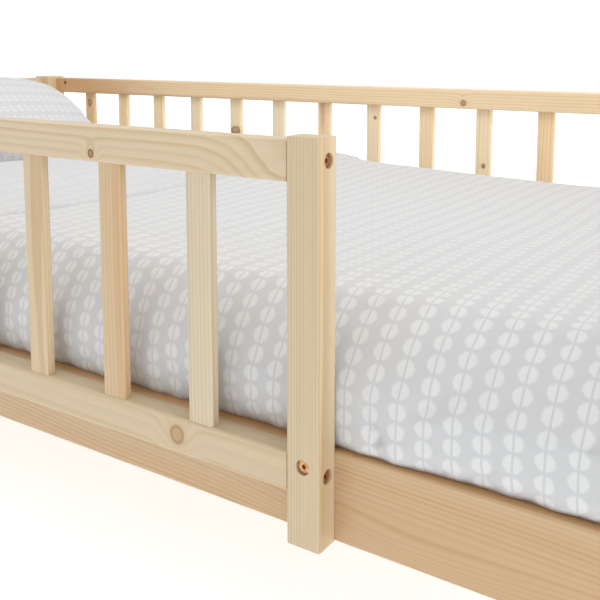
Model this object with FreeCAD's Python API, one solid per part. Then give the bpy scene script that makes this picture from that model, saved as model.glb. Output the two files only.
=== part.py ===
import FreeCAD, Part
import os

from FreeCAD import Vector

# Toddler bed of solid pine: two slatted side guards, two slatted ends, an entry
# gap on the front near the foot, a slatted base, a mattress and loose bedding.
# Millimetres. +X points to the foot, -Y to the front, +Z up, floor at zero.

# standard mattress and the space it lies in
mattress_length = 1800.0
mattress_width = 800.0
mattress_thick = 100.0
mattress_play = 5.0
inner_length = mattress_length + 2 * mattress_play
inner_width = mattress_width + 2 * mattress_play

# boards that carry the bed
board_thick = 24.0
board_high = 82.0
board_bottom = 130.0
board_top = board_bottom + board_high

# guards: two rails with flat slats let into them
rail_thick = 24.0
rail_high = 35.0
slat_free = 234.0
slat_wide = 28.5
slat_thick = 10.5
slat_tenon = 12.0
slat_setback = 1.75
slat_pitch = 112.0
back_slat_pitch = 113.5
back_slat_shift = -5.0
front_slat_count = 11
back_slat_count = 15
end_slat_count = 7
lower_rail_z = board_top - rail_high
top_rail_z = board_top + slat_free
guard_top = top_rail_z + rail_high

# posts
post_side = 50.0
post_top = guard_top + 3.5
guard_post_x = 412.0
guard_post_wide = 34.0
guard_post_deep = 25.0

# edge rounding
rail_round = 2.5
slat_round = 2.0
post_round = 4.0
guard_post_front_round = 3.0
guard_post_back_round = 1.0
board_round = 3.0
end_round = 1.2

# base
cleat_thick = 22.0
cleat_high = 24.0
cleat_z = 134.0
base_slat_wide = 70.0
base_slat_thick = 14.0
base_slat_count = 14
base_slat_pitch = 128.0
base_slat_play = 2.5
strap_wide = 25.0
strap_thick = 1.5
strap_y = 250.0

# furniture bolts, barrel nuts, dowels and screws
bolt_shank_r = 3.0
bolt_head_r = 6.35
bolt_head_thick = 3.4
bolt_recess_r = 6.7
bolt_recess_deep = 5.8
hex_across = 4.0
hex_deep = 2.2
nut_r = 5.0
nut_length = 13.0
nut_inset = 32.0
shank_past_nut = 6.0
dowel_r = 4.0
dowel_length = 30.0
screw_shank_r = 1.75
screw_head_r = 3.6
screw_head_deep = 3.2

# heights of the bolts that run along the bed and across it
long_bolt_z = (154.0, 200.5, 469.5)
end_bolt_z = (142.0, 188.5, 457.5)
long_dowel_z = 177.0
end_dowel_z = 165.0
guard_post_bolt_z = (lower_rail_z + rail_high / 2, top_rail_z + rail_high / 2 + 1.5)
guard_post_front_bolt_x = guard_post_x + guard_post_wide / 2
guard_post_front_bolt_z = 203.0
insert_length = 13.0
insert_r = 4.8

# bedding
soft_gap = 0.3
duvet_head_x = -440.0
duvet_over_board = 12.0
duvet_top = 336.0
duvet_flap_x = -62.0
duvet_flap_top = 380.0
pillow_foot_x = -452.0
pillow_head_x = -872.0
pillow_width = 640.0
pillow_thick = 200.0

# planes worked out from the sizes above
half_x = inner_length / 2
half_y = inner_width / 2
board_mid_y = half_y + board_thick / 2
board_mid_x = half_x + board_thick / 2
guard_y = half_y + board_thick
guard_x = half_x + board_thick
guard_mid_y = guard_y + rail_thick / 2
guard_mid_x = guard_x + rail_thick / 2
post_out_x = half_x + post_side
post_out_y = half_y + post_side

os.makedirs("parts", exist_ok=True)

parts = {}


def bar(x0, x1, y0, y1, z0, z1):
    return Part.makeBox(x1 - x0, y1 - y0, z1 - z0, Vector(x0, y0, z0))


def long_edges(solid, axis):
    found = []
    for edge in solid.Edges:
        run = edge.Vertexes[-1].Point - edge.Vertexes[0].Point
        if abs(abs(run.dot(axis)) - run.Length) < 1e-6:
            found.append(edge)
    return found


def eased_bar(x0, x1, y0, y1, z0, z1, axis, radius, ends=True):
    solid = bar(x0, x1, y0, y1, z0, z1)
    solid = solid.makeFillet(radius, long_edges(solid, axis))
    if not ends:
        return solid
    rims = []
    for face in solid.Faces:
        normal = face.normalAt(0, 0)
        if face.Surface.TypeId == "Part::GeomPlane" and abs(normal.dot(axis)) > 0.99:
            rims.extend(face.Edges)
    return solid.makeFillet(end_round, rims)


def drilled(solid, tools):
    if not tools:
        return solid
    return solid.cut(Part.makeCompound(tools))


def rod(radius, length, start, axis):
    return Part.makeCylinder(radius, length, start, axis)


def bolt(head_face, inward, length):
    """A furniture bolt whose head lies sunk under the face at head_face."""
    seat = head_face + inward * bolt_recess_deep
    head = rod(bolt_head_r, bolt_head_thick, seat - inward * bolt_head_thick, inward)
    rim = head.Edges[0]
    for edge in head.Edges:
        if abs((edge.CenterOfMass - (seat - inward * bolt_head_thick)).Length) < 1e-6:
            rim = edge
    head = head.makeFillet(0.6, [rim])
    socket_side = hex_across / 3 ** 0.5
    sideways = Vector(0, 0, 1)
    across = inward.cross(sideways)
    outer = seat - inward * bolt_head_thick
    corners = []
    for turn in range(6):
        arm = FreeCAD.Rotation(inward, 60.0 * turn).multVec(across)
        corners.append(outer + arm * socket_side)
    corners.append(corners[0])
    socket = Part.Face(Part.makePolygon(corners)).extrude(inward * hex_deep)
    shank = rod(bolt_shank_r, length, seat, inward)
    return head.fuse(shank).removeSplitter().cut(socket)


def bolt_room(head_face, inward, length):
    recess = rod(bolt_recess_r, bolt_recess_deep, head_face, inward)
    shank = rod(bolt_shank_r, length, head_face + inward * bolt_recess_deep, inward)
    return recess.fuse(shank)


def barrel_nut(centre, axis, shank_axis):
    body = rod(nut_r, nut_length, centre - axis * (nut_length / 2), axis)
    through = rod(bolt_shank_r, 3 * nut_r, centre - shank_axis * (1.5 * nut_r), shank_axis)
    return body.cut(through)


def nut_room(centre, axis, open_length):
    """The blind hole for a barrel nut, open on the side that axis points to."""
    return rod(nut_r, nut_length / 2 + open_length, centre - axis * (nut_length / 2), axis)


def screw(head_face, inward, length):
    head = Part.makeCone(screw_head_r, screw_shank_r, screw_head_deep, head_face, inward)
    shank = rod(screw_shank_r, length - screw_head_deep, head_face + inward * screw_head_deep, inward)
    return head.fuse(shank)


# every bolt with its nut; each is cut out of the wood that it runs through
frame_bolts = []
frame_bolt_rooms = []
barrel_nuts = []
nut_rooms = []
frame_bolt_length = post_side - bolt_recess_deep + nut_inset + shank_past_nut
for end in (-1, 1):
    for side in (-1, 1):
        long_in = Vector(-end, 0, 0)
        short_in = Vector(0, -side, 0)
        board_line = Vector(end * post_out_x, side * board_mid_y, 0)
        guard_line = Vector(end * post_out_x, side * guard_mid_y, 0)
        end_board_line = Vector(end * board_mid_x, side * post_out_y, 0)
        end_guard_line = Vector(end * guard_mid_x, side * post_out_y, 0)
        spots = []
        for z in long_bolt_z[:2]:
            spots.append((board_line, long_in, short_in, z, board_thick / 2))
        if not (end == 1 and side == -1):
            for z in long_bolt_z[1:]:
                spots.append((guard_line, long_in, short_in, z, rail_thick / 2))
        for z in end_bolt_z[:2]:
            spots.append((end_board_line, short_in, long_in, z, board_thick / 2))
        for z in end_bolt_z[1:]:
            spots.append((end_guard_line, short_in, long_in, z, rail_thick / 2))
        for line, inward, nut_open, z, to_face in spots:
            head_face = line + Vector(0, 0, z)
            nut_centre = head_face + inward * (post_side + nut_inset)
            frame_bolts.append(bolt(head_face, inward, frame_bolt_length))
            frame_bolt_rooms.append(bolt_room(head_face, inward, frame_bolt_length))
            barrel_nuts.append(barrel_nut(nut_centre, nut_open, inward))
            nut_rooms.append(nut_room(nut_centre, nut_open, to_face))

# the entry post is bolted to the guard's rail ends and back to the side board
guard_post_bolts = []
guard_post_rooms = []
guard_post_bolt_length = guard_post_wide - bolt_recess_deep + nut_inset + shank_past_nut
for z in guard_post_bolt_z:
    head_face = Vector(guard_post_x + guard_post_wide, -guard_mid_y, z)
    inward = Vector(-1, 0, 0)
    nut_centre = head_face + inward * (guard_post_wide + nut_inset)
    guard_post_bolts.append(bolt(head_face, inward, guard_post_bolt_length))
    guard_post_rooms.append(bolt_room(head_face, inward, guard_post_bolt_length))
    barrel_nuts.append(barrel_nut(nut_centre, Vector(0, 1, 0), inward))
    nut_rooms.append(nut_room(nut_centre, Vector(0, 1, 0), rail_thick / 2))
front_face = Vector(guard_post_front_bolt_x, -guard_y - guard_post_deep, guard_post_front_bolt_z)
front_bolt_length = guard_post_deep - bolt_recess_deep + insert_length + 2.0
guard_post_bolts.append(bolt(front_face, Vector(0, 1, 0), front_bolt_length))
guard_post_rooms.append(bolt_room(front_face, Vector(0, 1, 0), front_bolt_length))
insert_start = Vector(guard_post_front_bolt_x, -guard_y, guard_post_front_bolt_z)
insert_body = rod(insert_r, insert_length, insert_start, Vector(0, 1, 0))
insert_nut = insert_body.cut(guard_post_rooms[-1])

# dowels that locate the four boards in the posts
dowels = []
for end in (-1, 1):
    for side in (-1, 1):
        start = Vector(end * (half_x + dowel_length / 2), side * board_mid_y, long_dowel_z)
        dowels.append(rod(dowel_r, dowel_length, start, Vector(-end, 0, 0)))
        start = Vector(end * board_mid_x, side * (half_y + dowel_length / 2), end_dowel_z)
        dowels.append(rod(dowel_r, dowel_length, start, Vector(0, -side, 0)))

# cleats under the base, screwed to the side boards from inside
cleat_screws = []
cleat_screw_x = []
for step in range(7):
    cleat_screw_x.append((step - 3) * 2 * base_slat_pitch)
for side in (-1, 1):
    for x in cleat_screw_x:
        face = Vector(x, side * (half_y - cleat_thick), cleat_z + cleat_high / 2)
        cleat_screws.append(screw(face, Vector(0, side, 0), 40.0))

# slatted base, each slat held by one screw at each end
base_z = cleat_z + cleat_high
base_slat_x = []
for step in range(base_slat_count):
    base_slat_x.append((step - (base_slat_count - 1) / 2) * base_slat_pitch)
slat_screws = []
for x in base_slat_x:
    for side in (-1, 1):
        face = Vector(x, side * (half_y - cleat_thick / 2), base_z + base_slat_thick)
        slat_screws.append(screw(face, Vector(0, 0, -1), 32.0))
base_slats = []
for x in base_slat_x:
    reach = half_y - base_slat_play
    slat = eased_bar(
        x - base_slat_wide / 2,
        x + base_slat_wide / 2,
        -reach,
        reach,
        base_z,
        base_z + base_slat_thick,
        Vector(0, 1, 0),
        2.0,
        ends=False,
    )
    base_slats.append(drilled(slat, slat_screws))
parts["base_slats"] = Part.makeCompound(base_slats)
straps = []
strap_reach = base_slat_x[-1] + base_slat_wide / 2 - 6.0
for side in (-1, 1):
    straps.append(
        bar(
            -strap_reach,
            strap_reach,
            side * strap_y - strap_wide / 2,
            side * strap_y + strap_wide / 2,
            base_z - strap_thick,
            base_z,
        )
    )
parts["base_straps"] = Part.makeCompound(straps)

holes = frame_bolt_rooms + nut_rooms + guard_post_rooms + dowels + cleat_screws + slat_screws
holes.append(insert_body)
hole_boxes = [(tool.BoundBox, tool) for tool in holes]


def finished(solid):
    """Cuts only the holes that reach this piece."""
    near = []
    box = solid.BoundBox
    for tool_box, tool in hole_boxes:
        if box.intersect(tool_box):
            near.append(tool)
    return drilled(solid, near)


for side, name in ((-1, "cleat_front"), (1, "cleat_back")):
    y_pair = sorted((side * half_y, side * (half_y - cleat_thick)))
    cleat = eased_bar(
        -half_x + 20.0,
        half_x - 20.0,
        y_pair[0],
        y_pair[1],
        cleat_z,
        cleat_z + cleat_high,
        Vector(1, 0, 0),
        1.5,
        ends=False,
    )
    parts[name] = finished(cleat)

# the four boards between the posts
for side, name in ((-1, "side_board_front"), (1, "side_board_back")):
    y_pair = sorted((side * half_y, side * guard_y))
    board = eased_bar(
        -half_x, half_x, y_pair[0], y_pair[1], board_bottom, board_top, Vector(1, 0, 0), board_round, ends=False
    )
    parts[name] = finished(board)
for end, name in ((-1, "head_board"), (1, "foot_board")):
    x_pair = sorted((end * half_x, end * guard_x))
    board = eased_bar(
        x_pair[0], x_pair[1], -half_y, half_y, board_bottom, board_top, Vector(0, 1, 0), board_round, ends=False
    )
    parts[name] = finished(board)

# corner posts, which are the legs as well
for end, end_name in ((-1, "head"), (1, "foot")):
    for side, side_name in ((-1, "front"), (1, "back")):
        x_pair = sorted((end * half_x, end * post_out_x))
        y_pair = sorted((side * half_y, side * post_out_y))
        post = eased_bar(
            x_pair[0], x_pair[1], y_pair[0], y_pair[1], 0.0, post_top, Vector(0, 0, 1), post_round
        )
        parts[end_name + "_post_" + side_name] = finished(post)

entry_post = bar(
    guard_post_x,
    guard_post_x + guard_post_wide,
    -guard_y - guard_post_deep,
    -guard_y,
    board_bottom,
    post_top,
)
for radius, front in ((guard_post_front_round, True), (guard_post_back_round, False)):
    upright = []
    for edge in long_edges(entry_post, Vector(0, 0, 1)):
        at_front = edge.CenterOfMass.y < -guard_y - guard_post_deep / 2
        if edge.Length > rail_high and at_front == front:
            upright.append(edge)
    entry_post = entry_post.makeFillet(radius, upright)
rims = []
for face in entry_post.Faces:
    if face.Surface.TypeId == "Part::GeomPlane" and abs(face.normalAt(0, 0).z) > 0.99:
        rims.extend(face.Edges)
entry_post = entry_post.makeFillet(guard_post_back_round * 0.9, rims)
parts["entry_post"] = finished(entry_post)


# guards
def slat_bar(along, across, face_dir, wide_axis):
    """One flat slat; face_dir is the side of the guard it sits near."""
    outer = across + face_dir * (rail_thick / 2 - slat_setback)
    inner = outer - face_dir * slat_thick
    pair = sorted((outer, inner))
    z0 = board_top - slat_tenon
    z1 = top_rail_z + slat_tenon
    low = along - slat_wide / 2
    high = along + slat_wide / 2
    if wide_axis == "x":
        return eased_bar(low, high, pair[0], pair[1], z0, z1, Vector(0, 0, 1), slat_round, ends=False)
    return eased_bar(pair[0], pair[1], low, high, z0, z1, Vector(0, 0, 1), slat_round, ends=False)


def guard_rails(low, high, across, slats, wide_axis):
    made = []
    for z in (lower_rail_z, top_rail_z):
        near = across - rail_thick / 2
        far = across + rail_thick / 2
        if wide_axis == "x":
            rail = eased_bar(low, high, near, far, z, z + rail_high, Vector(1, 0, 0), rail_round, ends=False)
        else:
            rail = eased_bar(near, far, low, high, z, z + rail_high, Vector(0, 1, 0), rail_round, ends=False)
        made.append(finished(drilled(rail, slats)))
    return made


front_slats = []
for step in range(front_slat_count):
    centre = guard_post_x - slat_pitch * (front_slat_count - step) + slat_wide / 2
    front_slats.append(slat_bar(centre, -guard_mid_y, -1, "x"))
back_slats = []
for step in range(back_slat_count):
    centre = back_slat_shift + back_slat_pitch * (step - (back_slat_count - 1) / 2)
    back_slats.append(slat_bar(centre, guard_mid_y, 1, "x"))
for number, slat in enumerate(front_slats):
    parts["front_slat_%02d" % (number + 1)] = slat
for number, slat in enumerate(back_slats):
    parts["back_slat_%02d" % (number + 1)] = slat
lower, top = guard_rails(-half_x, guard_post_x, -guard_mid_y, front_slats, "x")
parts["front_lower_rail"] = lower
parts["front_top_rail"] = top
lower, top = guard_rails(-half_x, half_x, guard_mid_y, back_slats, "x")
parts["back_lower_rail"] = lower
parts["back_top_rail"] = top
for end, name in ((-1, "head"), (1, "foot")):
    end_slats = []
    for step in range(end_slat_count):
        centre = slat_pitch * (step - (end_slat_count - 1) / 2)
        end_slats.append(slat_bar(centre, end * guard_mid_x, end, "y"))
    lower, top = guard_rails(-half_y, half_y, end * guard_mid_x, end_slats, "y")
    parts[name + "_lower_rail"] = lower
    parts[name + "_top_rail"] = top
    parts[name + "_guard_slats"] = Part.makeCompound(end_slats)

parts["frame_bolts"] = Part.makeCompound(frame_bolts)
parts["entry_post_bolts"] = Part.makeCompound(guard_post_bolts)
parts["barrel_nuts"] = Part.makeCompound(barrel_nuts)
parts["insert_nut"] = insert_nut
parts["dowels"] = Part.makeCompound(dowels)
parts["cleat_screws"] = Part.makeCompound(cleat_screws)
parts["slat_screws"] = Part.makeCompound(slat_screws)

# mattress and loose bedding
mattress_z = base_z + base_slat_thick
mattress_top = mattress_z + mattress_thick
mattress = bar(
    -mattress_length / 2,
    mattress_length / 2,
    -mattress_width / 2,
    mattress_width / 2,
    mattress_z + soft_gap,
    mattress_top,
)
mattress = mattress.makeFillet(22.0, long_edges(mattress, Vector(0, 0, 1)))
parts["mattress"] = mattress

duvet_x = half_x + duvet_over_board
duvet_y = half_y + duvet_over_board


def puffed_block(x0, x1, z0, z1, radius):
    """A soft block with its top rim and its foot corners rounded off."""
    block = bar(x0, x1, -duvet_y, duvet_y, z0, z1)
    rims = []
    for edge in block.Edges:
        box = edge.BoundBox
        if box.ZMin > z1 - 1.0 or (box.ZLength > 10.0 and box.XMin > x0 + 1.0):
            rims.append(edge)
    return block.makeFillet(radius, rims)


# the duvet is turned back on itself from its head end
duvet_main = puffed_block(duvet_head_x, duvet_x, board_top + soft_gap, duvet_top, 38.0)
duvet_turned = puffed_block(duvet_head_x, duvet_flap_x, board_top + soft_gap, duvet_flap_top, 20.0)
duvet_outer = duvet_main.fuse(duvet_turned).removeSplitter()
mattress_room = bar(
    duvet_head_x - 10.0,
    mattress_length / 2 + 2.0,
    -mattress_width / 2 - 2.0,
    mattress_width / 2 + 2.0,
    board_top - 10.0,
    mattress_top + soft_gap,
)
parts["duvet"] = duvet_outer.cut(mattress_room)

pillow_z = mattress_top + soft_gap
pillow = bar(
    pillow_head_x, pillow_foot_x, -pillow_width / 2, pillow_width / 2, pillow_z, pillow_z + pillow_thick
)
pillow = pillow.makeFillet(70.0, pillow.Edges)
parts["pillow"] = pillow

for name in sorted(parts):
    parts[name].exportStep("parts/" + name + ".step")
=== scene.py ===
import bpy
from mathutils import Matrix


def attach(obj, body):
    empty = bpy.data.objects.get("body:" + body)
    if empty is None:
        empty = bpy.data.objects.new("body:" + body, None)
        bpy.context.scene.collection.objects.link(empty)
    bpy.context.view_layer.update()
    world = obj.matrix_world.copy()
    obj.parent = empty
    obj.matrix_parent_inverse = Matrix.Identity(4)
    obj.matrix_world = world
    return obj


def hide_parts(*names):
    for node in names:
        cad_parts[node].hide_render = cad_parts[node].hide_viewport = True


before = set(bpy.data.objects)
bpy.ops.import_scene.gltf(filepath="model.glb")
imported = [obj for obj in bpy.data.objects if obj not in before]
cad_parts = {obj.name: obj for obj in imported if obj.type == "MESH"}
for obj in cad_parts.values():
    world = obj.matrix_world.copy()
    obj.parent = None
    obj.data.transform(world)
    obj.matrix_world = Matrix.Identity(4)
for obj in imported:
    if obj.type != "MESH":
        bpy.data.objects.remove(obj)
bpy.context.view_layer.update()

import math

import bmesh
import bpy
import numpy as np
from mathutils import Matrix, Vector, noise

# A toddler bed of solid pine with slatted guards, made up with a mattress,
# a turned-back duvet and a pillow. Metres; +X to the foot, -Y to the front.

# the timber frame
half_length = 0.905
half_width = 0.405
board_thick = 0.024
board_top = 0.212
rail_thick = 0.024
guard_face = half_width + board_thick + rail_thick
guard_top = 0.481
entry_post_left = 0.412
slat_wide = 0.0285
slat_thick = 0.0105
slat_setback = 0.00175
slat_low = 0.200
slat_high = 0.458
slat_pitch = 0.112
back_slat_pitch = 0.1135
back_slat_shift = -0.005
slat_round = 0.002

# the bedding
mattress_half = (0.900, 0.400)
mattress_low = 0.1725
mattress_top = 0.272
duvet_head = -0.440
duvet_foot = 0.908
duvet_half = 0.4205
duvet_top = 0.329
duvet_shoulder = 0.048
duvet_hem = board_top + 0.0004
duvet_widest = 0.4275
duvet_lining = 0.002
duvet_crease = ((0.474, 0.256), (0.500, 0.211))
turned_edge = -0.057
turned_half = 0.404
turned_skew = 0.19
turned_thick = 0.032
pillow_half_thick = 0.091
pillow_middle = -0.650
pillow_lift = 0.117
pillow_head = -0.880


# ---------------------------------------------------------------- node helpers
class Graph:
    """Short ways to add and join nodes in one tree."""

    def __init__(self, tree):
        self.tree = tree

    def add(self, kind, values=None, **settings):
        node = self.tree.nodes.new(kind)
        for key, value in settings.items():
            setattr(node, key, value)
        for key, value in (values or {}).items():
            self.feed(node.inputs[key], value)
        return node

    def feed(self, socket, value):
        if isinstance(value, bpy.types.NodeSocket):
            self.tree.links.new(value, socket)
        elif value is not None:
            socket.default_value = value

    def math(self, operation, a, b=None, c=None):
        return self.add("ShaderNodeMath", {0: a, 1: b, 2: c}, operation=operation).outputs[0]

    def times(self, a, b):
        return self.math("MULTIPLY", a, b)

    def plus(self, a, b):
        return self.math("ADD", a, b)

    def less(self, a, b):
        return self.math("SUBTRACT", a, b)

    def scaled(self, a, factor, rest):
        return self.math("MULTIPLY_ADD", a, factor, rest)

    def vector(self, operation, a, b=None):
        node = self.add("ShaderNodeVectorMath", operation=operation)
        self.feed(node.inputs[0], a)
        self.feed(node.inputs["Scale" if operation == "SCALE" else 1], b)
        return node.outputs["Value" if operation == "LENGTH" else 0]

    def ramp(self, value, low, high, out_low=0.0, out_high=1.0):
        values = dict(enumerate((value, low, high, out_low, out_high)))
        return self.add("ShaderNodeMapRange", values, interpolation_type="SMOOTHSTEP").outputs[0]

    def blend(self, share, first, second):
        return self.add("ShaderNodeMix", {0: share, 6: first, 7: second}, data_type="RGBA").outputs[2]

    def noise(self, place, scale, detail=2.0, roughness=0.5, seed=0.0):
        return self.add("ShaderNodeTexNoise", {
            "Vector": place, "W": seed, "Scale": scale, "Detail": detail, "Roughness": roughness,
        }, noise_dimensions="4D").outputs["Fac"]

    def split(self, place):
        return self.add("ShaderNodeSeparateXYZ", {0: place}).outputs

    def here(self):
        """The place on the piece, in its own coordinates."""
        return self.add("ShaderNodeTexCoord").outputs["Object"]

    def join(self, x, y, z):
        return self.add("ShaderNodeCombineXYZ", {0: x, 1: y, 2: z}).outputs[0]


FLOAT, VECTOR, COLOR = "NodeSocketFloat", "NodeSocketVector", "NodeSocketColor"
WHOLE, MATERIAL, GEOMETRY = "NodeSocketInt", "NodeSocketMaterial", "NodeSocketGeometry"


def named_group(name, kind, takes, gives):
    """A node group with named inputs and outputs; returns it with its graph and its sockets."""
    tree = bpy.data.node_groups.new(name, kind)
    for label, socket_type, value in takes:
        socket = tree.interface.new_socket(label, in_out="INPUT", socket_type=socket_type)
        if value is not None:
            socket.default_value = value
    for label, socket_type in gives:
        tree.interface.new_socket(label, in_out="OUTPUT", socket_type=socket_type)
    start = tree.nodes.new("NodeGroupInput").outputs
    end = tree.nodes.new("NodeGroupOutput").inputs
    return tree, Graph(tree), start, end


def new_material(name, **settings):
    """A material with one surface shader; returns it with its graph and the shader."""
    material = bpy.data.materials.new(name)
    material.use_nodes = True
    material.node_tree.nodes.clear()
    graph = Graph(material.node_tree)
    shader = graph.add("ShaderNodeBsdfPrincipled")
    out = graph.add("ShaderNodeOutputMaterial")
    graph.tree.links.new(shader.outputs[0], out.inputs["Surface"])
    for key, value in settings.items():
        shader.inputs[key.replace("_", " ")].default_value = value
    return material, graph, shader


def add_bump(graph, shader, height, distance, strength=1.0):
    """Fine relief, no deeper than distance."""
    bump = graph.add("ShaderNodeBump", {"Strength": strength, "Distance": distance, "Height": height})
    graph.tree.links.new(bump.outputs[0], shader.inputs["Normal"])


def link_mesh(name, mesh):
    piece = bpy.data.objects.new(name, mesh)
    bpy.context.scene.collection.objects.link(piece)
    return piece


# ---------------------------------------------------------------- pine
FRESH = (0.725, 0.616, 0.446, 1.0)
PALE = (0.725, 0.590, 0.392, 1.0)
AMBER = (0.570, 0.310, 0.135, 1.0)
HONEY = (0.560, 0.365, 0.170, 1.0)
WARM = (0.690, 0.445, 0.235, 1.0)
KNOT_CORE = (0.330, 0.170, 0.070, 1.0)
KNOT_RIM = (0.110, 0.050, 0.020, 1.0)
KNOT_HALO = (0.560, 0.340, 0.150, 1.0)


def make_pine_figure():
    """Growth rings round a pith that wanders along the board, with fibre and broad tone; a painted light level
    scales the whole colour lighter or darker.
    """
    tree, g, start, end = named_group(
        "pine_figure", "ShaderNodeTree",
        (
            ("Place", VECTOR, None),
            ("Pith across", FLOAT, 0.03),
            ("Pith depth", FLOAT, 0.02),
            ("Ring width", FLOAT, 0.004),
            ("Lean", FLOAT, 0.0),
            ("Wander", FLOAT, 0.012),
            ("Warmth", FLOAT, 0.3),
            ("Contrast", FLOAT, 0.5),
            ("Seed", FLOAT, 0.0),
            ("Swirl", FLOAT, 0.0),
            ("Bright", FLOAT, 1.0),
        ),
        (("Color", COLOR), ("Height", FLOAT), ("Late", FLOAT)),
    )
    place, seed = start["Place"], start["Seed"]
    x, y, z = g.split(place)
    slow = g.vector("MULTIPLY", place, (1.5, 6.0, 6.0))
    sway = g.less(g.noise(slow, 1.0, 2.0, 0.45, seed), 0.5)
    sway_deep = g.less(g.noise(slow, 1.0, 2.0, 0.45, g.plus(seed, 7.3)), 0.5)
    across = g.less(y, start["Pith across"])
    across = g.scaled(x, start["Lean"], across)
    across = g.scaled(sway, start["Wander"], across)
    deep = g.less(z, start["Pith depth"])
    deep = g.scaled(sway_deep, start["Wander"], deep)
    reach = g.math("SQRT", g.plus(g.times(across, across), g.times(deep, deep)))
    unsteady = g.noise(g.vector("MULTIPLY", place, (4.0, 60.0, 60.0)), 1.0, 3.0, 0.5, seed)
    phase = g.math("DIVIDE", reach, start["Ring width"])
    phase = g.scaled(unsteady, 0.55, phase)
    phase = g.plus(phase, start["Swirl"])
    part = g.math("FRACT", phase)
    rise = g.ramp(part, 0.35, 0.90)
    fall = g.ramp(part, 0.92, 1.0, 1.0, 0.0)
    late = g.times(rise, fall)
    year = g.add("ShaderNodeTexWhiteNoise", noise_dimensions="1D")
    g.feed(year.inputs["W"], g.plus(g.math("FLOOR", phase), seed))
    late = g.times(late, g.scaled(year.outputs["Value"], 0.65, 0.35))
    early = g.blend(g.ramp(start["Warmth"], 0.0, 0.25), FRESH, PALE)
    tone = g.noise(g.vector("MULTIPLY", place, (1.8, 16.0, 16.0)), 1.0, 2.0, 0.5, g.plus(seed, 3.1))
    tone = g.times(g.ramp(tone, 0.30, 0.75, 0.45, 1.0), start["Warmth"])
    color = g.blend(tone, early, WARM)
    color = g.blend(g.times(late, start["Contrast"]), color, HONEY)
    fibre = g.noise(g.vector("MULTIPLY", place, (14.0, 800.0, 800.0)), 1.0, 3.0, 0.6, seed)
    streak = g.noise(g.vector("MULTIPLY", place, (6.0, 180.0, 180.0)), 1.0, 2.0, 0.5, seed)
    shade = g.scaled(fibre, 0.10, 0.95)
    shade = g.times(shade, g.scaled(streak, 0.10, 0.95))
    # Painted light: the colour is scaled by a per-board level that makes the piece look more or less lit.
    shade = g.times(shade, start["Bright"])
    color = g.vector("SCALE", color, shade)
    height = g.scaled(late, 0.45, g.times(fibre, 0.5))
    g.feed(end["Color"], color)
    g.feed(end["Height"], height)
    g.feed(end["Late"], late)
    return tree


def make_knot():
    """One knot that runs through a board, with the grain flowing round it."""
    tree, g, start, end = named_group(
        "pine_knot", "ShaderNodeTree",
        (
            ("Place", VECTOR, None),
            ("Centre", VECTOR, None),
            ("Spread", VECTOR, None),
            ("Depth", FLOAT, 1.0),
            ("Color", COLOR, (1.0, 1.0, 1.0, 1.0)),
        ),
        (("Color", COLOR),),
    )
    away = g.vector("MULTIPLY", g.vector("SUBTRACT", start["Place"], start["Centre"]), start["Spread"])
    wobble = g.less(g.noise(start["Place"], 160.0, 2.0, 0.5, 1.7), 0.5)
    reach = g.scaled(wobble, 0.35, g.vector("LENGTH", away))
    core = g.ramp(reach, 0.80, 1.02, 1.0, 0.0)
    rim = g.times(g.ramp(reach, 0.55, 0.92), g.ramp(reach, 0.95, 1.18, 1.0, 0.0))
    halo = g.ramp(reach, 0.9, 2.3, 1.0, 0.0)
    rings = g.math("FRACT", g.times(reach, 3.3))
    inner = g.blend(g.times(rings, 0.55), KNOT_CORE, KNOT_HALO)
    color = g.blend(g.times(halo, 0.35), start["Color"], KNOT_HALO)
    color = g.blend(g.times(core, start["Depth"]), color, inner)
    color = g.blend(g.times(rim, start["Depth"]), color, KNOT_RIM)
    g.feed(end["Color"], color)
    return tree


def make_grain_flow():
    """How far the growth rings are pushed aside near one knot."""
    tree, g, start, end = named_group(
        "grain_flow", "ShaderNodeTree",
        (
            ("Place", VECTOR, None),
            ("Centre", VECTOR, None),
            ("Spread", VECTOR, None),
            ("Swirl", FLOAT, 2.0),
        ),
        (("Swirl", FLOAT),),
    )
    away = g.vector("MULTIPLY", g.vector("SUBTRACT", start["Place"], start["Centre"]), start["Spread"])
    reach = g.vector("LENGTH", away)
    squared = g.times(g.times(reach, reach), -0.16)
    g.feed(end["Swirl"], g.times(g.math("EXPONENT", squared), start["Swirl"]))
    return tree


pine_figure = make_pine_figure()
pine_knot = make_knot()
grain_flow = make_grain_flow()

TURN_TO_GRAIN = {
    "x": (0.0, 0.0, 0.0),
    "y": (0.0, 0.0, -math.pi / 2),
    "z": (0.0, math.pi / 2, 0.0),
}


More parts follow.
